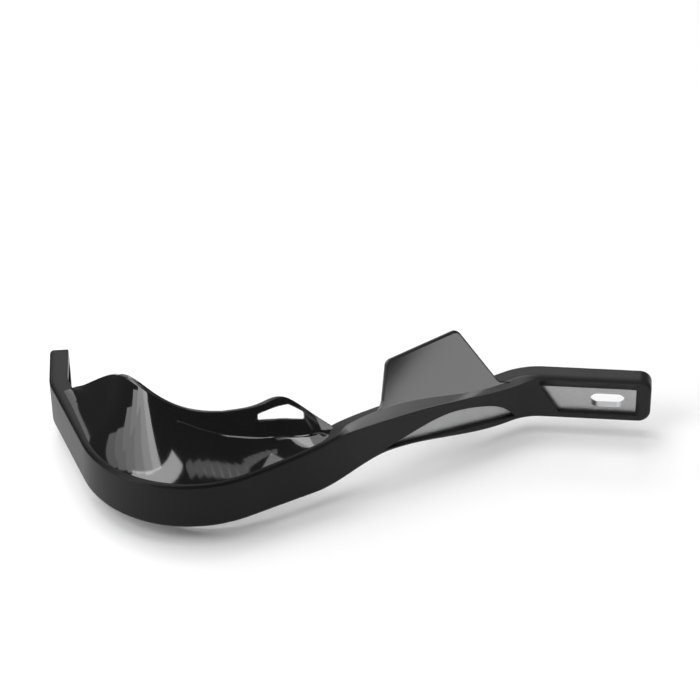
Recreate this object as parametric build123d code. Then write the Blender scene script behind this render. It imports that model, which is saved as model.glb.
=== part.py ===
from build123d import *
import os
from math import atan2, cos, degrees, hypot, radians, sin

# Motorcycle hand guard for the right grip: a bent aluminium bar inside one plastic moulding.
# Frame: origin at the centre of the bar-end bolt hole, +X along that bolt toward the clamp end,
# +Y toward the rider, +Z up. Sizes in millimetres, angles in degrees.
# A distance along the bar is measured on its plan line, from the moulding's tip at the bar end.

# Plan line of the bar, from the tip at the bar end to the tip at the clamp end
end_reach = 16.0  # bolt hole to the tip
end_run = 30.0
kink_radius = 22.0
kink_angle = 18.0
side_run = 56.0
bulge_radius = 60.0
bulge_angle = 97.0
long_run = 169.0
neck_radius = 34.0
neck_angle = 35.0
clamp_run = 61.0

# Aluminium bar
bar_thickness = 5.0
bar_above = 10.0  # middle of the bolt hole up to the top edge
bar_below = 12.0
bar_rise_above = 7.5  # rise of the top edge over the arch
bar_rise_below = 9.5
bar_corner = 5.0
bolt_hole = 8.5
slot_length = 20.0
slot_width = 9.0
slot_setback = 24.5  # clamp tip to the middle of the slot

# Plastic cover round the bar
front_cover = 2.8
back_cover = 2.8
tip_cover = 3.0
band_height = 29.0
band_corner = 7.0
front_round = 2.2
back_chamfer = 0.6

# Arch of the long run in the front view: distances along the bar, then heights
arch_start = 236.0
arch_peak = 283.0
arch_end = 358.0
top_rise = 6.0
bottom_rise = 10.5

# Upper shield: a hollow dish round the bulge that turns into a steep fin
shield_wall = 3.0
dish_ledge = 5.0
fin_ledge = 2.5
dish_hollow = 0.42  # how far the dish bends away from its chord
fin_hollow = 0.12
rim_strip = 0.06  # straight share of the slant in the dish
fin_strip = 0.66  # straight share of the slant in the fin
fin_slope = 70.0
fin_start = 122.0
fin_turn = 40.0  # length over which the fin's crease opens
fin_full = 222.0
fin_growth = 1.6  # power with which the strip widens
# Rim of the shield: distance along the bar, then inward and up from the band's outer top edge
rim_points = [
    (44.6, 13, 0.8), (61.6, 13.9, 14), (84, 20.5, 33), (106, 24.5, 42.2), (130, 28, 37.9), (160, 30, 30.2),
    (195, 26.8, 26), (218, 25.2, 24.1), (232, 24.5, 22.8), (242, 16, 14.6), (254, 7.5, 2.2),
]
# Corners of the hole in the fin: distance along the bar and height over the band
fin_hole_corners = [(213.5, 14.4), (238, 9.5), (239.2, 14.2), (231.8, 18.8), (213.4, 18.9)]
fin_hole_round = 1.0

# Lower lip under the bulge: distance along the bar, then inward and down from the outer bottom edge
lip_points = [(74, 6, 1), (98, 13, 8.5), (128, 17, 11.5), (158, 15, 10.5), (200, 10, 5), (245, 6, 1)]
lip_wall = 3.0

# Wing: a flat leaning plate that continues a bevel along the top of the long run
wing_start = 255.0  # distance along the bar
wing_level = 2.2  # above the plain top edge of the band
wing_fall = 2.2
wing_lean = 48.0
wing_wall = 3.0
wing_corner = 4.5
wing_hollow = 8.0  # radius where the wing leaves its taper
wing_chamfer = 0.8
bevel_length = 104.0
# Outline of the wing, along the bevel and up the slope
wing_outline = [(3, 0.3), (3, 3.4), (28, 11.6), (40, 34.4), (88.6, 40), (100.3, 4.6), (101.7, 0.3)]

# Windows that show the bar: one on each side of the clamp end, one inside the bar end, a crescent
window_setback = 8.5  # clamp tip to the window
window_height = 16.0
window_length = 57.0
window_slant = 14.0
window_drop = 2.0  # middle of the window and its slot below the middle of the bar
frame_bevel_top = 6.0
frame_bevel_side = 2.5
end_window_height = 16.0
end_window_reach = 8.0  # bolt hole toward the tip
end_window_bow = 2.5
end_window_depth = 13.0  # bolt hole toward the first bend
bolt_head = 18.0
# Crescent: distance along the bar and height of its left tip, crown points and right tip
crescent_points = [(280, -1), (300, 4.5), (320, 7.9), (342, 4.4), (357, -2.4), (365, -11)]

# Locating slots on the rider's side: distance along the bar and length
pin_slots = [(180, 12), (235, 7), (293, 7), (342, 7)]
pin_slot_width = 5.0

# Spacing of the sections in a loft, and lengths that pass the cover, the shield and the whole guard
loft_pitch = 13.0
past_cover = 20.0
past_shield = 100.0
past_all = 400.0
on_line = 0.01

# Sides of the bar and of its cover across the plan line
bar_half = bar_thickness / 2
outer_side = -bar_half - front_cover
inner_side = bar_half + back_cover
half_height = band_height / 2


def ramp(value, start, finish):
    """0 before start, 1 after finish, straight between."""
    return min(max((value - start) / (finish - start), 0), 1)


def arch_share(distance):
    """Share of the arch's rise at a distance along the bar."""
    climb = ramp(distance, arch_start, arch_peak)
    descent = ramp(distance, arch_peak, arch_end)
    return climb**2 * (3 - 2 * climb) - descent**2 * (3 - 2 * descent)


def turned(angle):
    """Unit vector at an angle from local x."""
    return Vector(cos(radians(angle)), sin(radians(angle)))


def plan_line(side=0.0, trim=0.0):
    """Edges of the plan line moved toward the rider by `side`, with `trim` off both ends."""
    straights = [end_run - trim, side_run, long_run, clamp_run - trim]
    bends = [(kink_radius, kink_angle), (bulge_radius, bulge_angle), (neck_radius, -neck_angle)]
    place = Vector(side, end_reach - trim)
    heading = Vector(0, -1)
    edges = []
    for index, straight in enumerate(straights):
        edges.append(Line(place, place + heading * straight))
        place = edges[-1] @ 1
        if index < len(bends):
            radius, turn = bends[index]
            closer = side if turn > 0 else -side
            edges.append(JernArc(place, heading, radius - closer, turn))
            place = edges[-1] @ 1
            heading = edges[-1] % 1
    return edges


middle = Wire(plan_line())


def section(distance, side=0.0, height=0.0):
    """Plane across the bar: local x toward the rider, local y up, normal along the bar."""
    place = middle.position_at(distance, position_mode=PositionMode.LENGTH)
    along = middle.tangent_at(distance, position_mode=PositionMode.LENGTH)
    inward = Vector(-along.Y, along.X)
    return Plane(place + inward * side + Vector(0, 0, height), x_dir=inward, z_dir=along)


def facing(distance, side=0.0):
    """Plane on a side of the bar: local x along the bar, local y up, normal away from the rider."""
    across = section(distance, side)
    return Plane(across.origin, x_dir=across.z_dir, z_dir=-across.x_dir)


def outline_of(side_a, side_b, trim):
    """The two long plan lines of a strip and the two short lines that close its tips."""
    front = plan_line(side_a, trim)
    back = plan_line(side_b, trim)
    tips = [Line(front[0] @ 0, back[0] @ 0), Line(front[-1] @ 1, back[-1] @ 1)]
    return front, back, tips


def strip(side_a, side_b, trim):
    """Tall slab between two offsets of the plan line."""
    front, back, tips = outline_of(side_a, side_b, trim)
    return extrude(make_face(front + back + tips), amount=past_all, both=True)


def arched_edge(level, rise):
    """One long edge of the front view, which rises over the long run and comes back."""
    foot, crown, end = [section(d).origin.X for d in (arch_start, arch_peak, arch_end)]
    up = (crown - foot) / 3
    down = (end - crown) / 3
    top = level + rise
    return [
        Line((-past_all, level), (foot, level)),
        Bezier((foot, level), (foot + up, level), (crown - up, top), (crown, top)),
        Bezier((crown, top), (crown + down, top), (end - down, level), (end, level)),
        Line((end, level), (past_all, level)),
    ]


def front_view(above, below, rise_above, rise_below):
    """Thick plate with the front outline of the bar or of its cover."""
    upper = arched_edge(above, rise_above)
    lower = arched_edge(-below, rise_below)
    ends = [Line(upper[0] @ 0, lower[0] @ 0), Line(upper[-1] @ 1, lower[-1] @ 1)]
    return extrude(Plane.XZ * make_face(upper + lower + ends), amount=past_all, both=True)


def level_edges_over(part, lines):
    """Edges of the part that run level over or under one of the plan lines."""
    found = []
    for edge in part.edges():
        spot = edge @ 0.5
        run = edge % 0.5
        shadow = Vertex(spot.X, spot.Y, 0)
        level = abs(run.Z) < hypot(run.X, run.Y)
        if level and min(line.distance_to(shadow) for line in lines) < on_line:
            found.append(edge)
    return found


# Aluminium bar: a flat blank with rounded ends, then its bolt hole and clamp slot
blank = strip(-bar_half, bar_half, tip_cover)
blank &= front_view(bar_above, bar_below, bar_rise_above, bar_rise_below)
blank = fillet(level_edges_over(blank, outline_of(-bar_half, bar_half, tip_cover)[2]), bar_corner)
slot = facing(middle.length - slot_setback) * Pos(0, -window_drop) * SlotOverall(slot_length, slot_width)
bar = blank - extrude(slot, amount=bar_thickness, both=True)
bar -= extrude(Plane.YZ * Circle(bolt_hole / 2), amount=bar_thickness, both=True)

# Cover band round the bar, with rounded tips and eased long edges
front_line, back_line, tip_lines = outline_of(outer_side, inner_side, 0)
band = strip(outer_side, inner_side, 0) & front_view(half_height, half_height, top_rise, bottom_rise)
band = fillet(level_edges_over(band, tip_lines), band_corner)
band = fillet(level_edges_over(band, front_line), front_round)
band = chamfer(level_edges_over(band, back_line), back_chamfer)


def shield_section(distance, rim_in, rim_up):
    """Outline of the shield: hollow from the ledge to the crease, straight on to the rim."""
    fin = ramp(distance, fin_start, fin_full) ** fin_growth
    turn = ramp(distance, fin_start, fin_start + fin_turn)
    hollow = dish_hollow + (fin_hollow - dish_hollow) * turn
    ledge = dish_ledge + (fin_ledge - dish_ledge) * ramp(distance, fin_start / 2, fin_start)
    root = Vector(ledge, 0)
    rim = Vector(rim_in, rim_up)
    chord = degrees(atan2(rim_up, rim_in - ledge))
    slope = (1 - turn) * chord * (1 + dish_hollow) + turn * fin_slope
    straight = (rim_strip + (fin_strip - rim_strip) * fin) * hypot(rim_in - ledge, rim_up)
    crease = rim - turned(slope) * straight
    rise = degrees(atan2(crease.Y, crease.X - ledge))
    first = turned(rise * (1 - hollow))
    last = turned(rise * (1 + hollow))
    root_back = root + Vector(first.Y, -first.X) * shield_wall
    off_rim = turned(slope - 90) * shield_wall
    outline = [
        Spline(root, crease, tangents=(first, last)),
        Line(crease, rim),
        Line(rim, rim + off_rim),
        Line(rim + off_rim, crease + off_rim),
        Spline(crease + off_rim, root_back, tangents=(-last, -first)),
        Line(root_back, root),
    ]
    top = half_height + top_rise * arch_share(distance)
    return section(distance, outer_side, top) * make_face(outline)


def lip_section(distance, lip_in, lip_down):
    """Outline of the lower lip, from inside the band to its rim."""
    root = Vector(lip_wall, lip_wall / 2)
    rim = Vector(lip_in, -lip_down)
    across = (rim - root).normalized().rotate(Axis.Z, 90) * lip_wall
    outline = Polyline(root, rim, rim + across, root + across, close=True)
    bottom = bottom_rise * arch_share(distance) - half_height
    return section(distance, outer_side, bottom) * make_face(outline)


def along_guide(points):
    """Evenly spread points on a smooth curve through the given ones."""
    guide = Spline(*[Vector(*point) for point in points])
    steps = round(guide.length / loft_pitch)
    return [guide @ (index / steps) for index in range(steps + 1)]


# Upper shield and lower lip, lofted along the bulge
shield = loft([shield_section(p.X, p.Y, p.Z) for p in along_guide(rim_points)])
lip = loft([lip_section(p.X, p.Y, p.Z) for p in along_guide(lip_points)])

# Hole through the fin, square to the long run
run_face = facing(wing_start, inner_side)
hole_corners = [(d - wing_start, half_height + up) for d, up in fin_hole_corners]
hole = make_face(Polyline(*hole_corners, close=True))
hole = fillet(hole.vertices(), fin_hole_round)
shield -= extrude(run_face * hole, amount=-past_shield)

# Wing and bevel lie in one leaning plane
run = section(wing_start, outer_side, half_height + wing_level)
wing_along = run.z_dir * cos(radians(wing_fall)) - Vector(0, 0, sin(radians(wing_fall)))
wing_up = run.x_dir * sin(radians(wing_lean)) + Vector(0, 0, cos(radians(wing_lean)))
wing_plane = Plane(run.origin, x_dir=wing_along, z_dir=wing_along.cross(wing_up))
wing_face = make_face(Polyline(*wing_outline, close=True))
wing_face = fillet(wing_face.vertices().sort_by(Axis.Y)[-2:], wing_corner)
wing_face = fillet(wing_face.vertices().sort_by_distance(wing_outline[2])[0], wing_hollow)
wing = extrude(wing_plane * wing_face, amount=-wing_wall)
wing = chamfer(wing.edges().filter_by(wing_plane), wing_chamfer)
bevel = wing_plane * Pos(bevel_length / 2, 0) * Rectangle(bevel_length, past_shield)

# One moulding, hollow where the bar lies
moulding = band - extrude(bevel, amount=past_shield) + shield + lip + wing - blank

# Clamp windows: slanted at the neck, with a bevelled frame on the outer side
window_end = middle.length - window_setback
low = -window_height / 2 - window_drop
high = low + window_height
frame_high = high + frame_bevel_top
window_corners = [(0, low), (0, high), (-window_length, high), (window_slant - window_length, low)]
frame_corners = [
    (frame_bevel_side, low), (frame_bevel_side, frame_high),
    (-window_length, frame_high), (window_slant - window_length, low),
]
window = Polyline(*window_corners, close=True)
frame = Polyline(*frame_corners, close=True)
front_bottom = facing(window_end, -bar_half)
front_top = front_bottom.offset(front_cover)
moulding -= loft([front_bottom * make_face(window), front_top * make_face(frame)])
moulding -= extrude(facing(window_end) * make_face(window), amount=past_cover, both=True)

# Window inside the bar end, bowed toward the tip, and room for the bolt's head outside
end_low = -end_window_height / 2
end_sides = Polyline(
    (end_window_reach, -end_low), (-end_window_depth, -end_low),
    (-end_window_depth, end_low), (end_window_reach, end_low),
)
end_bow = ThreePointArc(end_sides @ 1, (end_window_reach + end_window_bow, 0), end_sides @ 0)
end_window = make_face(end_sides + end_bow)
moulding -= extrude(Plane.YZ * end_window, amount=past_cover)
moulding -= extrude(Plane.YZ * Circle(bolt_head / 2), amount=-past_cover)

# Crescent window low on the outer side of the long run
crescent = [(d - wing_start, up) for d, up in crescent_points]
crescent_face = make_face(Line(crescent[0], crescent[-1]) + Spline(*crescent))
moulding -= extrude(facing(wing_start) * crescent_face, amount=past_cover)

# Locating slots on the rider's side
middle_rise = (top_rise + bottom_rise) / 2
for distance, length in pin_slots:
    pin_slot = Pos(0, middle_rise * arch_share(distance)) * SlotOverall(length, pin_slot_width)
    moulding -= extrude(facing(distance) * pin_slot, amount=-past_cover)

os.makedirs("parts", exist_ok=True)
export_step(bar, "parts/aluminium_bar.step")
export_step(moulding, "parts/guard_moulding.step")
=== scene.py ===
from math import radians, tan

import bmesh
import bpy
import numpy as np
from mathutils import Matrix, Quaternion, Vector


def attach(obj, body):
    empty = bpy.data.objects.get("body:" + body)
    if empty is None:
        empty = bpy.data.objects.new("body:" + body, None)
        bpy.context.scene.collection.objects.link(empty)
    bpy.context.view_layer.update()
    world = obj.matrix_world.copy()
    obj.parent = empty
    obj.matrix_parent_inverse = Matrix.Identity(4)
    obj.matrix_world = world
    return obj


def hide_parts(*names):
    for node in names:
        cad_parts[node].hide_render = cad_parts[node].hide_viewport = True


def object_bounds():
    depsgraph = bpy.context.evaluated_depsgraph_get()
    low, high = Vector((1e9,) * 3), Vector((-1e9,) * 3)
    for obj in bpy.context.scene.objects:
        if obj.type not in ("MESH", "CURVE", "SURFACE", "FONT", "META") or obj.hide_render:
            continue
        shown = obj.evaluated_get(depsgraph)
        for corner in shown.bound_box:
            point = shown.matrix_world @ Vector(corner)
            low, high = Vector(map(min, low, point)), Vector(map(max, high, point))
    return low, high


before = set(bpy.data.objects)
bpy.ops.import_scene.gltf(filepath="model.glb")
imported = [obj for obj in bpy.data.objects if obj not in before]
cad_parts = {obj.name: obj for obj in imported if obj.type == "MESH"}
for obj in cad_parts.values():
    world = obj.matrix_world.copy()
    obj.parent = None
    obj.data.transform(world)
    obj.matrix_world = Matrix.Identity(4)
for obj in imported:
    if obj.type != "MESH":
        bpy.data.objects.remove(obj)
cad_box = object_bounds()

# Aluminium bar
# A flat strip of aluminium, bent cold, drilled at the bar end and slotted at the clamp end.
# It is moulded into the plastic and shows only in the windows, where it is bare and satin.


class Value:
    """One output socket of a material. Arithmetic on Values adds Math nodes to the same tree."""

    def __init__(self, socket):
        self.socket = socket

    def node(self, kind, settings, sockets, output=0):
        """Any other node: its settings are set first, then its sockets are filled or linked."""
        tree = self.socket.id_data
        made = tree.nodes.new("ShaderNode" + kind)
        for name, setting in settings.items():
            setattr(made, name, setting)
        for name, value in sockets.items():
            if isinstance(value, Value):
                tree.links.new(value.socket, made.inputs[name])
            else:
                made.inputs[name].default_value = value
        return Value(made.outputs[output])

    def into(self, shader, socket):
        """Feeds one input of the material's shader."""
        self.socket.id_data.links.new(self.socket, shader.inputs[socket])

    def math(self, operation, first, second):
        """A Math node on two Values or numbers."""
        return self.node("Math", {"operation": operation}, {0: first, 1: second})

    def __add__(self, other):
        return self.math("ADD", self, other)

    def __sub__(self, other):
        return self.math("SUBTRACT", self, other)

    def __rsub__(self, other):
        return self.math("SUBTRACT", other, self)

    def __mul__(self, other):
        return self.math("MULTIPLY", self, other)

    __radd__ = __add__
    __rmul__ = __mul__


def new_finish(name, **sockets):
    """A material with constant sockets set, its shader, and its Object coordinates in metres."""
    material = bpy.data.materials.new(name)
    material.use_nodes = True
    shader = material.node_tree.nodes["Principled BSDF"]
    for socket, constant in sockets.items():
        shader.inputs[socket.replace("_", " ")].default_value = constant
    place = material.node_tree.nodes.new("ShaderNodeTexCoord")
    return material, shader, Value(place.outputs["Object"])


def grain(place, per_mm, detail=2.0):
    """Noise from 0 to 1 with about that many waves in a millimetre."""
    sockets = {"Vector": place, "Scale": per_mm * 1000, "Detail": detail}
    return place.node("TexNoise", {}, sockets)


def between(place, share, low, high):
    """Colour that runs from low to high with a share from 0 to 1; each is a colour or a Value."""
    low, high = [tone if isinstance(tone, Value) else (*tone, 1.0) for tone in (low, high)]
    return place.node("Mix", {"data_type": "RGBA"}, {0: share, 6: low, 7: high}, 2)


def relief(place, height, depth_mm):
    """Normal of a relief whose height of 1 stands for the depth."""
    return place.node("Bump", {}, {"Height": height, "Distance": depth_mm / 1000})


bare_metal, shader, place = new_finish("bare_aluminium", Metallic=1.0)
blotch = grain(place, 0.12, 3.0)
brushed = grain(place.node("Mapping", {}, {"Vector": place, "Scale": (0.25, 0.25, 3.0)}), 1.6)
between(place, blotch, (0.33, 0.33, 0.335), (0.47, 0.47, 0.475)).into(shader, "Base Color")
(0.30 + 0.16 * blotch + 0.08 * brushed).into(shader, "Roughness")
relief(place, brushed, 0.02).into(shader, "Normal")
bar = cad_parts["aluminium_bar"]
bar.data.materials.clear()
bar.data.materials.append(bare_metal)

# Cover band
# Black plastic moulded all round the bar, a plate that follows the bar's bends, with rounded
# edges, a bevel that leads into the wing, and windows where the metal is left bare.

# Each straight run or bend of the bar in plan: its length and its turn in degrees
runs = [
    (30, 0), (22 * radians(18), 18), (56, 0), (60 * radians(97), 97), (169, 0),
    (34 * radians(35), -35), (61, 0),
]
stations = np.cumsum([0.0] + [length for length, turn in runs])
headings = np.radians(np.cumsum([-90.0] + [turn for length, turn in runs]))
band_length = stations[-1]
bolt_station = 16.0
track_step, track_margin = 0.05, 30
track_stations = np.arange(-track_margin, band_length + track_margin, track_step)
track = np.cumsum(np.exp(1j * np.interp(track_stations, stations, headings))) * track_step
track -= np.interp(bolt_station, track_stations, track)


def on_guard(along, side, height):
    """Point at a distance along the bar, a side toward the rider and a height, in millimetres.

    The plan line is the running sum of unit steps in the complex plane, so the side is a step
    turned by a right angle from the heading there.
    """
    step = np.exp(1j * np.interp(along, stations, headings))
    plan = np.interp(along, track_stations, track) + 1j * side * step
    return np.stack(np.broadcast_arrays(plan.real, plan.imag, height), -1)


def ease(value, start, stop):
    """Smooth step from 0 at the start to 1 at the stop."""
    share = np.clip((value - start) / (stop - start), 0, 1)
    return share**2 * (3 - 2 * share)


def spline(knots, values, at):
    """Natural cubic spline through the values: second derivatives from one linear system."""
    knots, values, at = [np.asarray(numbers, float) for numbers in (knots, values, at)]
    gaps, rises = np.diff(knots), np.diff(values)
    inner = np.arange(1, len(knots) - 1)
    system, pull = np.eye(len(knots)), np.zeros(len(knots))
    system[inner, inner - 1], system[inner, inner + 1] = gaps[:-1], gaps[1:]
    system[inner, inner] = 2 * (gaps[:-1] + gaps[1:])
    pull[inner] = 6 * (rises[1:] / gaps[1:] - rises[:-1] / gaps[:-1])
    bend = np.linalg.solve(system, pull)
    k = np.clip(np.searchsorted(knots, at) - 1, 0, len(gaps) - 1)
    left, right, gap = at - knots[k], knots[k + 1] - at, gaps[k]
    curve = (bend[k] * right**3 + bend[k + 1] * left**3) / (6 * gap)
    start = values[k] / gap - bend[k] * gap / 6
    end = values[k + 1] / gap - bend[k + 1] * gap / 6
    return curve + start * right + end * left


bow_start, bow_peak, bow_end = 236, 283, 358
bow_knots = np.array([
    (195, 0), (208, 0.3), (220, 1.1), (236, 2.6), (246, 4.2), (252, 5.5), (258, 6.4), (266, 7.0),
    (bow_peak, 7.2),
])


def arch(along):
    """Share of the long run's upward bow, a smooth step up and another down."""
    return ease(along, bow_start, bow_peak) - ease(along, bow_peak, bow_end)


def top_bow(along):
    """Height that the band's top edge gains: it climbs past the fin's tail, then falls away."""
    climb = spline(*bow_knots.T, np.clip(along, bow_knots[0, 0], bow_peak))
    return climb * (1 - ease(along, bow_peak, bow_end))


def moulded(name, grids, material, gloss_and_painted_sheen=()):
    """One smooth mesh from grids of points in millimetres, welded where they meet.

    Each grid gives a quad for each of its cells; the last argument holds for each point a share of
    coat gloss and of a grey painted sheen.
    """
    points = np.concatenate([grid.reshape(-1, 3) for grid in grids]) / 1000
    faces = []
    first = 0
    for grid in grids:
        rows, across = grid.shape[:2]
        corner = first + np.arange(rows - 1)[:, None] * across + np.arange(across - 1)
        quads = np.stack([corner, corner + 1, corner + across + 1, corner + across], -1)
        faces.append(quads.reshape(-1, 4))
        first += rows * across
    mesh = bpy.data.meshes.new(name)
    mesh.from_pydata(points, [], np.concatenate(faces))
    if len(gloss_and_painted_sheen):
        gloss_and_painted_sheen_values = mesh.attributes.new("gloss_and_painted_sheen", "FLOAT", "POINT")
        gloss_and_painted_sheen_values.data.foreach_set("value", np.concatenate(gloss_and_painted_sheen, None))
    weld = bmesh.new()
    weld.from_mesh(mesh)
    bmesh.ops.remove_doubles(weld, verts=weld.verts, dist=2e-6)
    bmesh.ops.dissolve_degenerate(weld, edges=weld.edges, dist=1e-6)
    bmesh.ops.recalc_face_normals(weld, faces=weld.faces)
    weld.to_mesh(mesh)
    weld.free()
    mesh.shade_smooth()
    mesh.materials.append(material)
    piece = bpy.data.objects.new(name, mesh)
    bpy.context.scene.collection.objects.link(piece)
    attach(piece, "root")
    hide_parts("guard_moulding")


def rounded(corners, radius, arc_points=9):
    """Closed outline through the corners, each replaced by an arc tangent to its two sides."""
    corners = np.asarray(corners, float)
    radius = np.broadcast_to(radius, len(corners))[:, None, None]
    back = np.roll(corners, 1, 0) - corners
    ahead = np.roll(corners, -1, 0) - corners
    back /= np.linalg.norm(back, axis=1)[:, None]
    ahead /= np.linalg.norm(ahead, axis=1)[:, None]
    split = back + ahead
    split /= np.linalg.norm(split, axis=1)[:, None]
    cosine = np.sum(split * back, 1)[:, None, None]
    sine = np.sqrt(1 - cosine**2)
    centre = corners[:, None] + split[:, None] * radius / sine
    reach = radius * cosine / sine
    share = np.linspace(0, 1, arc_points)[None, :, None]
    across = (1 - share) * back[:, None] + share * ahead[:, None]
    spoke = corners[:, None] + across * reach - centre
    spoke /= np.maximum(np.linalg.norm(spoke, axis=2), 1e-9)[..., None]
    return (centre + spoke * radius).reshape(-1, 2)


def spread(path, count):
    """The same path with evenly spaced points."""
    run = np.concatenate([[0], np.cumsum(np.hypot(*np.diff(path, axis=0).T))])
    at = np.linspace(0, run[-1], count)
    return np.stack([np.interp(at, run, path[:, 0]), np.interp(at, run, path[:, 1])], 1)


def halves(loop, level):
    """Upper and lower half of a closed clockwise outline, each from its left to its right.

    It is split at its two points nearest to a level, one on each side of its middle.
    """
    fine = spread(np.concatenate([loop, loop[:1]]), 4001)[:-1]
    is_right = fine[:, 0] >= fine[:, 0].mean()
    left = np.argmin(np.abs(fine[:, 1] - level) + 1000 * is_right)
    fine, is_right = np.roll(fine, -left, 0), np.roll(is_right, -left)
    right = np.argmin(np.abs(fine[:, 1] - level) + 1000 * ~is_right)
    return fine[: right + 1], np.concatenate([fine[right:], fine[:1]])[::-1]


def grown(upper, lower, distance):
    """Both halves of an outline moved away from its inside, along their normals."""
    over, under = [np.gradient(half, axis=0)[:, ::-1] * (-1, 1) for half in (upper, lower)]
    over /= np.linalg.norm(over, axis=1)[:, None]
    under /= -np.linalg.norm(under, axis=1)[:, None]
    for tip in (0, -1):
        both = over[tip] + under[tip]
        over[tip] = under[tip] = both / np.linalg.norm(both)
    return upper + over * distance, lower + under * distance


half_height, band_corner, front_round, back_round, edge_ease = 14.5, 7.0, 2.2, 0.6, 0.5
outer_side, inner_side, bar_side = -5.3, 5.3, 2.45
top_rise, bottom_rise = 6.0, 10.5
edge_count = 800
turn = np.linspace(0, np.pi / 2, 16)
tip_s = np.concatenate([[0], band_corner * (1 - np.cos(turn))])
tip_z = np.concatenate([[0], half_height - band_corner * (1 - np.sin(turn))])
path_s = np.concatenate([tip_s, band_length - tip_s[::-1]])
edge_path = np.stack([path_s, np.concatenate([tip_z, tip_z[::-1]])], 1)
edge_s, edge_z = spread(edge_path, edge_count).T
edge_run = np.linspace(0, 1, edge_count) * np.hypot(*np.diff(edge_path, axis=0).T).sum()
top_z = edge_z + top_bow(edge_s)
bottom_z = -edge_z + bottom_rise * arch(edge_s)

# Profile of the edge from the outer to the inner face, as insets from the outline and sides
front_count, back_count = 8, 4
quarter = np.linspace(0, np.pi / 2, front_count)
wall_share = np.linspace(0, 1, 5)[1:-1]
round_in = np.concatenate([front_round * (1 - np.sin(quarter)), 0 * wall_share])
round_side = np.concatenate([front_round * (1 - np.cos(quarter)), 0 * wall_share])
wall_end = inner_side - back_round
back_quarter = np.linspace(0, np.pi / 2, back_count)
back_in = back_round * (1 - np.cos(back_quarter))
back_side = wall_end + back_round * np.sin(back_quarter)

# The bevel runs from a line on the outer face to the leaning plane of the wing
wing_station, wing_level, wing_fall, wing_lean = 255.0, 2.2, radians(2.2), radians(48)
least_bevel = 0.6
line_knots = np.array([
    (236, 16.5), (246, 18.0), (252, 18.9), (258, 19.5), (264, 19.5), (270, 19.3), (280, 19.0),
    (288, 18.6), (300, 17.9), (318, 15.9), (350, 11.5), (366, 10.4), (384, 10.6),
])
bevel_line = spline(*line_knots.T, np.clip(edge_s, *line_knots[[0, -1], 0]))
bevel_drop = np.maximum(top_z - bevel_line, least_bevel)[:, None]
over_wing = top_z - half_height - wing_level + tan(wing_fall) * (edge_s - wing_station)
bevel_reach = np.maximum(over_wing, least_bevel)[:, None] * tan(wing_lean)
bevel_way = edge_ease / np.hypot(bevel_drop, bevel_reach)
u = np.linspace(0, 1, front_count // 2)
start_in = bevel_drop + edge_ease * (1 - u) ** 2 - bevel_way * bevel_drop * u**2
start_side = bevel_way * bevel_reach * u**2
stop_in = bevel_way * bevel_drop * (1 - u) ** 2
stop_side = bevel_reach + edge_ease * u**2 - bevel_way * bevel_reach * (1 - u) ** 2
bevel_in = np.concatenate([start_in, stop_in, 0 * bevel_drop * wall_share], 1)
bevel_side = np.concatenate([start_side, stop_side, 0 * bevel_drop * wall_share], 1)
is_bevel = (ease(edge_s, 250, 258) * (1 - ease(edge_s, 364, 384)))[:, None]


def band_edge(edge_level, outward, share):
    """Edge strip of the band: the profile carried along one half of its outline.

    The profile is a blend of the round and the bevel, then a straight wall, then the back round.
    """
    inset = (1 - share) * round_in + share * bevel_in
    side = (1 - share) * (outer_side + round_side) + share * (outer_side + bevel_side)
    front_end = side[:, [front_count - 1]]
    side[:, front_count:] = front_end + (wall_end - front_end) * wall_share
    inset = np.concatenate([inset, np.broadcast_to(back_in, (len(inset), back_count))], 1)
    side = np.concatenate([side, np.broadcast_to(back_side, (len(side), back_count))], 1)
    step = np.gradient(np.stack([edge_s, edge_level], 1), axis=0)
    step /= np.linalg.norm(step, axis=1)[:, None] * outward
    return edge_s[:, None] + step[:, 1:] * inset, edge_level[:, None] - step[:, :1] * inset, side


top_strip = band_edge(top_z, 1, is_bevel)
bottom_strip = band_edge(bottom_z, -1, 0 * is_bevel)


def band_face(holes, column, face_side):
    """One face of the band: lines from its two edges to a middle line that opens round each hole.

    The edges are one column of the edge strips. A hole is a range of the outline and the upper
    and lower half of its rings, from the face inward.
    """
    knots = [(0, front_round, 0)]
    for start, stop, rings in holes:
        knots += [(start, *rings[0][0][0]), (stop, *rings[0][0][-1])]
    knots += [(edge_run[-1], band_length - front_round, 0)]
    run, s, z = np.array(knots).T
    middle = np.stack([np.interp(edge_run, run, s), np.interp(edge_run, run, z)], 1)
    upper, lower = middle.copy(), middle.copy()
    grids = []
    for start, stop, rings in holes:
        inside = (edge_run >= start) & (edge_run <= stop)
        upper[inside], lower[inside] = [spread(half, inside.sum()) for half in rings[0][:2]]
        for half in (0, 1):
            wall = np.stack([spread(ring[half], inside.sum()) for ring in rings], 1)
            sides = np.array([ring[2] for ring in rings])
            grids.append(on_guard(wall[..., 0], sides, wall[..., 1]))
    share = np.linspace(0, 1, 13)[:, None]
    for (s, z, side), rim in ((top_strip, upper), (bottom_strip, lower)):
        edge = np.stack([s[:, column], z[:, column]], 1)[:, None]
        lines = edge + (rim[:, None] - edge) * share
        grids.append(on_guard(lines[..., 0], face_side, lines[..., 1]))
    return grids


def lipped(start, stop, upper, lower, face_side, lip=0.4):
    """A hole whose edge is a quarter round and whose wall goes straight down to the bar."""
    inward = -np.sign(face_side)
    rings = []
    for angle in np.linspace(0, np.pi / 2, 5):
        over, under = grown(spread(upper, 240), spread(lower, 240), lip * (1 - np.sin(angle)))
        rings.append((over, under, face_side + inward * lip * (1 - np.cos(angle))))
    rings.append((*rings[-1][:2], -inward * bar_side))
    return start, stop, rings


def edge_at(along):
    """Place on the outline's run over a distance along the bar."""
    return np.interp(along, edge_s[1:-1], edge_run[1:-1])


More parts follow.
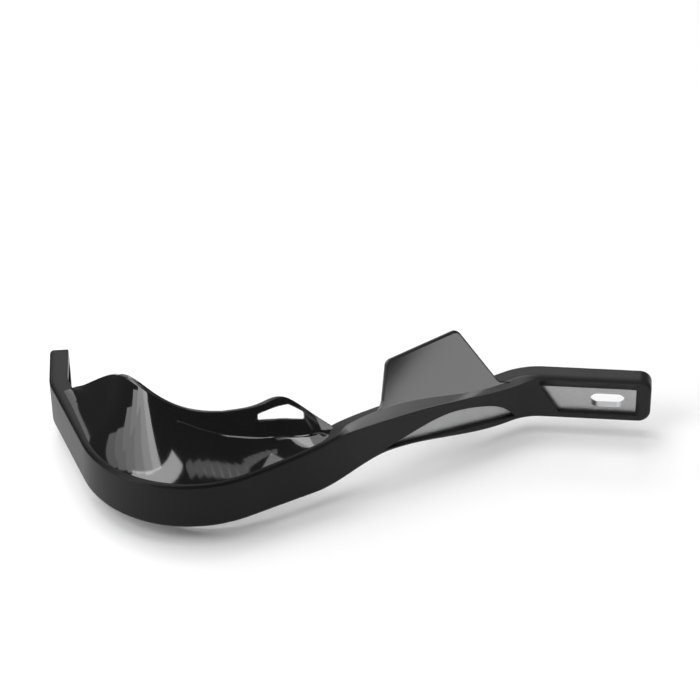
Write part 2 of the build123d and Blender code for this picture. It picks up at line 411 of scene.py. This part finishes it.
# Outer face: room for the bolt's head, a crescent window and the framed window at the clamp end
bolt_head_radius = 9.0
round_angle = np.linspace(0, 2 * np.pi, 181)[:-1]
bolt_head_s = bolt_station - bolt_head_radius * np.cos(round_angle)
bolt_head = np.stack([bolt_head_s, bolt_head_radius * np.sin(round_angle)], 1)
crescent_knots = np.array([
    (280, -1), (300, 4.5), (320, 7.9), (342, 4.4), (357, -2.4), (365, -11),
])
knot_run = np.concatenate([[0], np.cumsum(np.hypot(*np.diff(crescent_knots, axis=0).T))])
fine_run = np.linspace(0, knot_run[-1], 300)
crescent = np.stack([spline(knot_run, knots, fine_run) for knots in crescent_knots.T], 1)
window_end, window_foot, window_middle = band_length - 8.5, -10, -2
window_top, frame_top, frame_beyond = 6, 12, 2.5
top_start, foot_start = window_end - 57, window_end - 43


def clamp_opening(top, beyond):
    """Halves of a slant-ended outline at the clamp end, up to a top and past the window's end."""
    end = window_end + beyond
    corners = [(top_start, top), (end, top), (end, window_foot), (foot_start, window_foot)]
    return [spread(half, 400) for half in halves(rounded(corners, 0.8), window_middle)]


window_halves = clamp_opening(window_top, 0)
frame_halves = clamp_opening(frame_top, frame_beyond)
frame_rings = []
for growth, depth in ((0.25, 0), (0.07, 0.07), (-0.03, 0.25)):
    frame_rings.append((*grown(*frame_halves, growth), outer_side + depth))
frame_rings.append((*window_halves, -bar_side))
frame_range = edge_at(window_end - 66.8), edge_at(window_end + frame_beyond) + 13
outer_holes = [
    lipped(4, edge_at(28), *halves(bolt_head, 0), outer_side),
    lipped(edge_at(276), edge_at(361), crescent, crescent[[0, -1]], outer_side, 0.3),
    (*frame_range, frame_rings),
]

# Inner face: the bar end's window with a bowed end, four locating slots and the clamp's window
bow_radius = 14.05
bow = np.radians(np.linspace(-34.7, 34.7, 9))
bow_s = bolt_station - 10.5 + bow_radius * (1 - np.cos(bow))
end_bow = np.stack([bow_s, bow_radius * np.sin(bow)], 1)
end_corners = np.concatenate([end_bow, [(bolt_station + 13, 8), (bolt_station + 13, -8)]])
end_window = rounded(end_corners, [0.8] + [0.05] * 7 + [0.8] * 3)
inner_holes = [lipped(3.5, edge_at(33), *halves(end_window, 0), inner_side)]
slot_half, slot_round = 2.5, 2.49
for station, length in ((180, 12), (235, 7), (293, 7), (342, 7)):
    level = (top_rise + bottom_rise) / 2 * arch(station)
    s0, s1 = station - length / 2, station + length / 2
    z0, z1 = level - slot_half, level + slot_half
    slot = rounded([(s0, z1), (s1, z1), (s1, z0), (s0, z0)], slot_round)
    inner_holes.append(lipped(edge_at(s0 - 4), edge_at(s1 + 4), *halves(slot, level), inner_side))
window_range = edge_at(window_end - 69), edge_at(window_end) + 9
inner_holes.append(lipped(*window_range, *window_halves, inner_side))

band_grids = [on_guard(s, side, z) for s, z, side in (top_strip, bottom_strip)]
band_grids += band_face(outer_holes, 0, outer_side) + band_face(inner_holes, -1, inner_side)
band_gloss_and_painted_sheen = [np.zeros(grid.shape[:2]) for grid in band_grids]
# the bevel's columns get a real coat gloss and a grey painted sheen
band_gloss_and_painted_sheen[0][:, 2:7] = is_bevel

# Grained in the mould: deep black toward the bar end, painted a little greyer past the bulge as
# painted light from the right, and a satin coat on the bevel under a grey painted sheen
matt_sockets = {"Specular_IOR_Level": 0.13, "Coat_Roughness": 0.2}
matt_plastic, shader, place = new_finish("matt_plastic", **matt_sockets)
fine = grain(place, 2.2, 2.0)
cloud = grain(place, 0.05, 2.0)
gloss_and_painted_sheen_share = place.node("Attribute", {"attribute_name": "gloss_and_painted_sheen"}, {}, 2)
across = place.node("SeparateXYZ", {}, {"Vector": place})
smooth = {"interpolation_type": "SMOOTHSTEP"}
# painted light: past 0.12 to 0.18 m in x, toward the clamp end, the black is painted greyer,
# standing in for light from the right
right_painted_light = place.node("MapRange", smooth, {"Value": across, "From Min": 0.12, "From Max": 0.18})
black = between(place, cloud, (0.005, 0.005, 0.0053), (0.007, 0.007, 0.0074))
black_with_painted_light = between(place, right_painted_light, black, (0.020, 0.020, 0.0205))
# painted sheen: where the share is 1, on the bevel, the black base is painted grey (0.10); the coat
# gloss there is real
between(place, gloss_and_painted_sheen_share, black_with_painted_light, (0.10, 0.10, 0.102)).into(shader, "Base Color")
((0.30 + 0.08 * cloud) * (1 - gloss_and_painted_sheen_share) + 0.36 * gloss_and_painted_sheen_share).into(shader, "Roughness")
gloss_and_painted_sheen_share.into(shader, "Coat Weight")
relief(place, fine * (1 - gloss_and_painted_sheen_share), 0.012).into(shader, "Normal")
moulded("cover_band", band_grids, matt_plastic, band_gloss_and_painted_sheen)

# Upper shield
# A thin gloss dish that rises from the band's top round the bulge and turns through a crease into
# a steep fin with a hole in it. Part of the same moulding, polished in the mould.

# Along the bar: the rim's place inward and up, and the straight part's share of the section
rim_knots = np.array([
    (44.6, 13, 0.8), (61.6, 13.9, 14), (84, 20.5, 33), (106, 24.5, 42.2), (130, 28, 37.9),
    (160, 30, 30.2), (195, 26.8, 26), (218, 25.2, 24.1), (232, 24.5, 22.8), (242, 16, 14.6),
    (254, 7.5, 2.2),
])
share_knots = np.array([
    (44, 0.06), (100, 0.06), (122, 0.066), (140, 0.104), (160, 0.178), (180, 0.279), (195, 0.385),
    (210, 0.548), (220, 0.653), (230, 0.729), (238, 0.727), (246, 0.620), (251, 0.6), (257, 0.6),
])
shield_wall, rim_round, crease_round = 3.0, 1.0, 1.6
bulge_start, bulge_end, crease_length = 61, 122, 40
fin_steep, tail_lean = 70, 23


def shield_lines(along):
    """Ledge, crease and straight part of the shield's section, as complex numbers inward and up.

    The straight part takes a share of the way from ledge to rim. Past the bulge its slope turns
    from that of the dish to that of the fin, which leans over toward its tail.
    """
    rim_in, rim_up = [spline(rim_knots[:, 0], reach, along) for reach in rim_knots[:, 1:].T]
    rim = rim_in + 1j * rim_up
    turn = np.clip((along - bulge_end) / crease_length, 0, 1)
    narrowed = np.clip((along - bulge_start) / (bulge_end - bulge_start), 0, 1)
    sunk = top_bow(along) - top_rise * arch(along) - 0.5 * ease(along, 240, 248)
    ledge = 5.0 - 2.5 * narrowed + 1j * sunk
    steep = np.radians(fin_steep - tail_lean * ease(along, 216, 246))
    slope = (1 - turn) * np.angle(rim - ledge) * 1.42 + turn * steep
    straight = spline(*share_knots.T, along) * np.abs(rim - ledge) * np.exp(1j * slope)
    return ledge, rim - straight, straight, 0.42 - 0.30 * turn


def shield_skin(along, climb):
    """Point of the shield's outer skin: climb 0 to 1 is the hollow, 1 to 2 the straight part.

    In each section the hollow is a cubic from the ledge to the crease with a set angle at both
    ends, the straight part runs on to the rim, and a parabola rounds the crease.
    """
    ledge, crease, straight, hollow = shield_lines(along)
    chord = crease - ledge
    leave = np.abs(chord) * np.exp(1j * np.angle(chord) * (1 - hollow))
    arrive = np.abs(chord) * np.exp(1j * np.angle(chord) * (1 + hollow))

    def cubic(t):
        """Hermite cubic from the ledge to the crease."""
        way = ledge + chord * t**2 * (3 - 2 * t)
        return way + leave * t * (1 - t) ** 2 - arrive * t**2 * (1 - t)

    before = np.minimum(crease_round / np.abs(chord), 0.3)
    after = np.minimum(crease_round / np.abs(straight), 0.6)
    t = np.clip((climb - 1 + before) / (before + after), 0, 1)
    bend = (1 - t) ** 2 * cubic(1 - before) + 2 * t * (1 - t) * crease
    bend = bend + t**2 * (crease + straight * after)
    section = np.where(climb < 1 - before, cubic(climb), crease + straight * (climb - 1))
    section = np.where((t > 0) & (t < 1), bend, section)
    base = half_height + top_rise * arch(along)
    return on_guard(along, outer_side + section.real, base + section.imag)


def shield_out(along, climb):
    """Unit normal of that skin, from small steps both ways."""
    run = shield_skin(along + 0.3, climb) - shield_skin(along - 0.3, climb)
    rise = shield_skin(along, climb + 0.004) - shield_skin(along, climb - 0.004)
    normal = np.cross(run, rise)
    return normal / np.linalg.norm(normal, axis=-1)[..., None]


def climb_at(along, height):
    """Climb on the straight part at a height over the band's top."""
    ledge, crease, straight, hollow = shield_lines(along)
    return 1 + (height - crease.imag) / straight.imag


# The fin's hole, with a rounded lip on both skins, split along a line that falls to the tail
shield_s = np.linspace(44.6, 256.5, 420)
in_hole = (shield_s > 209) & (shield_s < 243)
fin_hole = rounded([
    (213.4, 19.2), (231.9, 19.5), (238.4, 15.4), (237.4, 12.4), (231.5, 12.5), (223.2, 13.4),
    (213.1, 16),
], 1.0)
split_fall, split_s, split_height = 0.15, 226, 15.7
tilt = np.array([[1, split_fall], [0, 1]])
tilted_halves = halves(fin_hole @ tilt, split_height + split_fall * split_s)
hole_halves = [spread(half @ np.linalg.inv(tilt), in_hole.sum()) for half in tilted_halves]
hole_rings = []
for growth, depth in ((0.5, 0), (0.15, 0.15), (0, 0.5), (0, 2.5), (0.15, 2.85), (0.5, shield_wall)):
    hole_rings.append((*grown(*hole_halves, growth), depth))

# Both skins below and above a slit that opens into the hole, and a half-round rim between them
straight_length = np.abs(shield_lines(shield_s)[2])
rim_curl = np.minimum(rim_round, 0.5 * straight_length)
reach_up = 2 - rim_curl / straight_length
slit_high = np.stack([shield_s, 1 + 0.45 * (reach_up - 1)], 1)
slit_low = slit_high.copy()
for slit_edge, half in ((slit_high, hole_rings[0][0]), (slit_low, hole_rings[0][1])):
    slit_edge[in_hole] = np.stack([half[:, 0], climb_at(half[:, 0], half[:, 1])], 1)
rows = np.concatenate([np.linspace(-0.05, 0.86, 34), np.linspace(0.88, 1.0, 9)])
share = np.linspace(0, 1, 22)
column_s, reach_up = shield_s[:, None], reach_up[:, None]
slit_s = column_s + (slit_low[:, :1] - column_s) * share[1:]
slit_climb = 1 + (slit_low[:, 1:] - 1) * share[1:]
lower_s = np.concatenate([column_s + 0 * rows, slit_s], 1)
lower_climb = np.concatenate([rows + 0 * column_s, slit_climb], 1)
upper_s = slit_high[:, :1] + (column_s - slit_high[:, :1]) * share
upper_climb = slit_high[:, 1:] + (reach_up - slit_high[:, 1:]) * share
outer_low, outer_high = shield_skin(lower_s, lower_climb), shield_skin(upper_s, upper_climb)
inner_low = outer_low - shield_wall * shield_out(lower_s, lower_climb)
inner_high = outer_high - shield_wall * shield_out(upper_s, upper_climb)
out = shield_out(column_s, reach_up)
up = shield_skin(column_s, reach_up) - shield_skin(column_s, reach_up - 0.01)
up /= np.linalg.norm(up, axis=2)[..., None]
swing = np.linspace(0, np.pi / 2, 6)[None, :, None]
curl = rim_curl[:, None, None]
front_turn = outer_high[:, -1:] + curl * (up * np.sin(swing) - out * (1 - np.cos(swing)))
back_turn = inner_high[:, -1:] + curl * (up * np.cos(swing) + out * (1 - np.sin(swing)))
rim_strip = np.concatenate([front_turn, back_turn], 1)
shield_grids = [outer_low, outer_high, rim_strip, inner_low, inner_high]
for half in (0, 1):
    wall = []
    for ring in hole_rings:
        s, height = ring[half].T
        climb = climb_at(s, height)
        wall.append(shield_skin(s, climb) - ring[2] * shield_out(s, climb))
    shield_grids.append(np.stack(wall, 1))
facing = [(outer_low, inner_low), (outer_high, inner_high), (front_turn, back_turn[:, ::-1])]
for end in (0, -1):
    shield_grids += [np.stack([outer[end], inner[end]], 1) for outer, inner in facing]

gloss_plastic, shader, place = new_finish("gloss_plastic", Specular_IOR_Level=0.8)
wave = grain(place, 0.04, 1.0)
between(place, wave, (0.004, 0.004, 0.0043), (0.006, 0.006, 0.0064)).into(shader, "Base Color")
(0.05 + 0.04 * grain(place, 0.5)).into(shader, "Roughness")
relief(place, wave, 0.05).into(shader, "Normal")
moulded("upper_shield", shield_grids, gloss_plastic)

# Lower lip
# A short flange under the bulge that leans in below the rider's knuckles, with a rounded rim.
# The same black plastic as the band, moulded in one with it.
lip_knots = np.array([
    (74, 6, 1), (98, 13, 8.5), (128, 17, 11.5), (158, 15, 10.5), (200, 10, 5), (245, 6, 1),
])
lip_wall, lip_round = 3.0, 1.0
lip_s = np.linspace(lip_knots[0, 0], lip_knots[-1, 0], 160)[:, None]
lip_in, lip_down = [spline(lip_knots[:, 0], reach, lip_s) for reach in lip_knots[:, 1:].T]
lip_root, lip_rim = lip_wall + 0.5j * lip_wall, lip_in - 1j * lip_down
lip_way = (lip_rim - lip_root) / np.abs(lip_rim - lip_root)
lip_side = 1j * lip_way
lip_end = lip_rim - lip_round * lip_way
swing = np.linspace(0, np.pi / 2, 5)
front_skin = lip_root + (lip_end - lip_root) * np.linspace(0, 1, 12)
front_turn = lip_end + lip_round * (lip_side * (1 - np.cos(swing)) + lip_way * np.sin(swing))
back_turn = lip_end + lip_side * (lip_wall - lip_round)
back_turn = back_turn + lip_round * (lip_side * np.sin(swing) + lip_way * np.cos(swing))
back_skin = (front_skin + lip_side * lip_wall)[:, ::-1]
lip_section = np.concatenate([front_skin, front_turn[:, 1:], back_turn, back_skin[:, 1:]], 1)
lip_height = lip_section.imag - half_height + bottom_rise * arch(lip_s)
moulded("lower_lip", [on_guard(lip_s, outer_side + lip_section.real, lip_height)], matt_plastic)

# Wing
# A flat plate that leans toward the rider and grows out of the bevel on the long run. Semi-gloss,
# with rounded edges, part of the same moulding.
wing_origin = on_guard(wing_station, outer_side, half_height + wing_level)
run_way = on_guard(wing_station + 1, outer_side, 0.0) - on_guard(wing_station, outer_side, 0.0)
rider_way = on_guard(wing_station, 1.0, 0.0) - on_guard(wing_station, 0.0, 0.0)
upright = np.array([0, 0, 1.0])
wing_along = run_way * np.cos(wing_fall) - upright * np.sin(wing_fall)
wing_up = rider_way * np.sin(wing_lean) + upright * np.cos(wing_lean)
wing_out = np.cross(wing_along, wing_up)
wing_wall, wing_round, wing_proud, root_sink = 3.0, 1.1, 0.04, 0.5


def on_wing(along, up, out):
    """Point on the leaning plane of the wing, in millimetres from its start."""
    flat = wing_origin + along[..., None] * wing_along + up[..., None] * wing_up
    return flat + out[..., None] * wing_out


def wing_root(along):
    """Height on the leaning plane at which the band's top edge crosses it."""
    top = top_bow(wing_station + along) - wing_level + along * tan(wing_fall)
    return top / np.cos(wing_lean)


wing_corners = [
    (13, wing_root(13) - root_sink), (26, wing_root(26)), (40.3, 34.8), (88.6, 40), (100.6, 4.2),
    (107, wing_root(107) - root_sink),
]
arc_points, wing_count = 25, 260
wing_loop = rounded(wing_corners, [0.05, 13, 5, 4.5, 2.5, 0.05], arc_points)
wing_edge = spread(wing_loop[arc_points // 2:-(arc_points // 2)], wing_count)
foot_along = np.linspace(wing_edge[0, 0], wing_edge[-1, 0], wing_count)
wing_foot = np.stack([foot_along, wing_root(foot_along) - root_sink], 1)
step = np.gradient(wing_edge, axis=0)
step /= np.linalg.norm(step, axis=1)[:, None]
wing_in = np.stack([step[:, 1], -step[:, 0]], 1)
inner_edge = wing_edge + wing_in * wing_round
inner_edge[:, 1] = np.maximum(inner_edge[:, 1], wing_root(inner_edge[:, 0]) - root_sink)
share = np.linspace(0, 1, 30)
face_along = wing_foot[:, :1] + (inner_edge[:, :1] - wing_foot[:, :1]) * share
face_up = wing_foot[:, 1:] + (inner_edge[:, 1:] - wing_foot[:, 1:]) * share
swing = np.linspace(0, np.pi / 2, 6)
edge_in = wing_round * np.concatenate([1 - np.sin(swing), 1 - np.cos(swing)])
front_out = wing_round * (np.cos(swing) - 1)
back_out = wing_round * (1 - np.sin(swing)) - wing_wall
edge_along = wing_edge[:, :1] + wing_in[:, :1] * edge_in
edge_up = wing_edge[:, 1:] + wing_in[:, 1:] * edge_in
edge_out = np.broadcast_to(np.concatenate([front_out, back_out]), edge_up.shape)
wing_grids = [
    on_wing(face_along, face_up, np.full(face_up.shape, wing_proud)),
    on_wing(edge_along, edge_up, wing_proud + edge_out),
    on_wing(face_along, face_up, np.full(face_up.shape, wing_proud - wing_wall)),
]
satin_plastic, shader, place = new_finish("satin_plastic", Specular_IOR_Level=0.8)
haze = grain(place, 0.03, 2.0)
between(place, haze, (0.014, 0.014, 0.0145), (0.020, 0.020, 0.0205)).into(shader, "Base Color")
(0.045 + 0.03 * haze).into(shader, "Roughness")
relief(place, grain(place, 1.5), 0.004).into(shader, "Normal")
moulded("wing", wing_grids, satin_plastic)

# Floor, light and camera
# A white sheet at the guard's lowest edge, in a dark room with soft lamps. It ends just outside
# the picture at the left and in front, so that the gloss plastic mirrors the dark room there.
sheet_corners = [(-0.024, -0.6), (6.0, -0.6), (6.0, 6.0), (-0.236, 6.0)]
floor_mesh = bpy.data.meshes.new("floor")
floor_mesh.from_pydata([(x, y, cad_box[0].z) for x, y in sheet_corners], [], [(0, 1, 2, 3)])
floor = bpy.data.objects.new("floor", floor_mesh)
bpy.context.scene.collection.objects.link(floor)
pale, shader, place = new_finish("pale_floor", Roughness=0.9, Specular_IOR_Level=0.0)
shader.inputs["Base Color"].default_value = (0.98, 0.98, 0.98, 1.0)
floor_mesh.materials.append(pale)


def softbox(name, turn, lift, distance, width, height, radiance):
    """A soft rectangular lamp at an azimuth and elevation in degrees, facing the dish's bowl."""
    lamp = bpy.data.lights.new(name, "AREA")
    lamp.shape = "RECTANGLE"
    lamp.size = width
    lamp.size_y = height
    lamp.energy = radiance * np.pi * width * height
    box = bpy.data.objects.new(name, lamp)
    way = Vector((1, 0, 0))
    way.rotate(Quaternion((0, -1, 0), radians(lift)))
    way.rotate(Quaternion((0, 0, 1), radians(turn)))
    box.location = Vector((0.08, -0.07, 0.03)) + distance * way
    box.rotation_mode = "QUATERNION"
    box.rotation_quaternion = (-way).to_track_quat("-Z", "Y")
    bpy.context.scene.collection.objects.link(box)


softbox("top_box", 80, 82, 1.6, 0.95, 0.95, 2.1)
softbox("back_high_box", 135, 67, 1.5, 1.1, 0.75, 3.2)
softbox("back_box", 120, 26, 1.7, 1.4, 1.1, 1.2)
softbox("back_right_box", 82, 36, 1.7, 0.9, 0.5, 3.5)
softbox("left_high_box", 218, 57, 1.2, 0.78, 0.24, 4.5)
softbox("wing_box", -22, 36, 1.6, 0.55, 0.49, 2.6)
softbox("crease_box", -55, 38, 1.6, 1.3, 0.1, 0.5)
ring_boxes = [
    (-90, 61.8), (-77, 63.8), (-64, 65.2), (-51, 66), (-38, 66.2), (-25, 65.7), (-12, 64.5),
    (1, 63), (14, 63), (27, 62.4), (40, 61), (53, 59),
]
for turn, lift in ring_boxes:
    softbox(f"ring_{turn}", turn, lift, 1.6, 0.165, 0.17, 1.0)


def panel(name, turn, bottom, top, radiance):
    """An upright lamp 0.21 m wide, 1.2 m away at an azimuth, between two elevations in degrees."""
    low_end, high_end = 1.2 * tan(radians(bottom)), 1.2 * tan(radians(top))
    softbox(name, turn, 0, 1.2, 0.21, high_end - low_end, radiance)
    bpy.data.objects[name].location.z += (low_end + high_end) / 2


panel("left_panel_1", 169, 12, 46, 1.1)
panel("left_panel_2", 179, 10, 48, 1.5)
panel("left_panel_3", 189, -6, 50, 1.9)
panel("left_panel_4", 199, -24, 52, 2.4)
panel("left_panel_5", 209, -28, 54, 3.3)
panel("left_panel_6", 219, -28, 53, 4.6)

world = bpy.data.worlds.new("studio")
bpy.context.scene.world = world
world.use_nodes = True
background = world.node_tree.nodes["Background"]
background.inputs["Color"].default_value = (1.0, 1.0, 1.0, 1.0)
background.inputs["Strength"].default_value = 0.08

camera_data = bpy.data.cameras.new("camera")
camera_data.sensor_width = 36.0
camera_data.lens = 132.4
camera = bpy.data.objects.new("camera", camera_data)
stand = Vector((0.0855, -1.1949, 0.8829))
sight = Vector((0.1679, 0.0150, 0.0))
roll = Quaternion((0, 0, 1), radians(-0.92))
camera.location = stand
camera.rotation_mode = "QUATERNION"
camera.rotation_quaternion = (sight - stand).to_track_quat("-Z", "Y") @ roll
bpy.context.scene.collection.objects.link(camera)
bpy.context.scene.camera = camera
bpy.context.scene.view_settings.view_transform = "Standard"
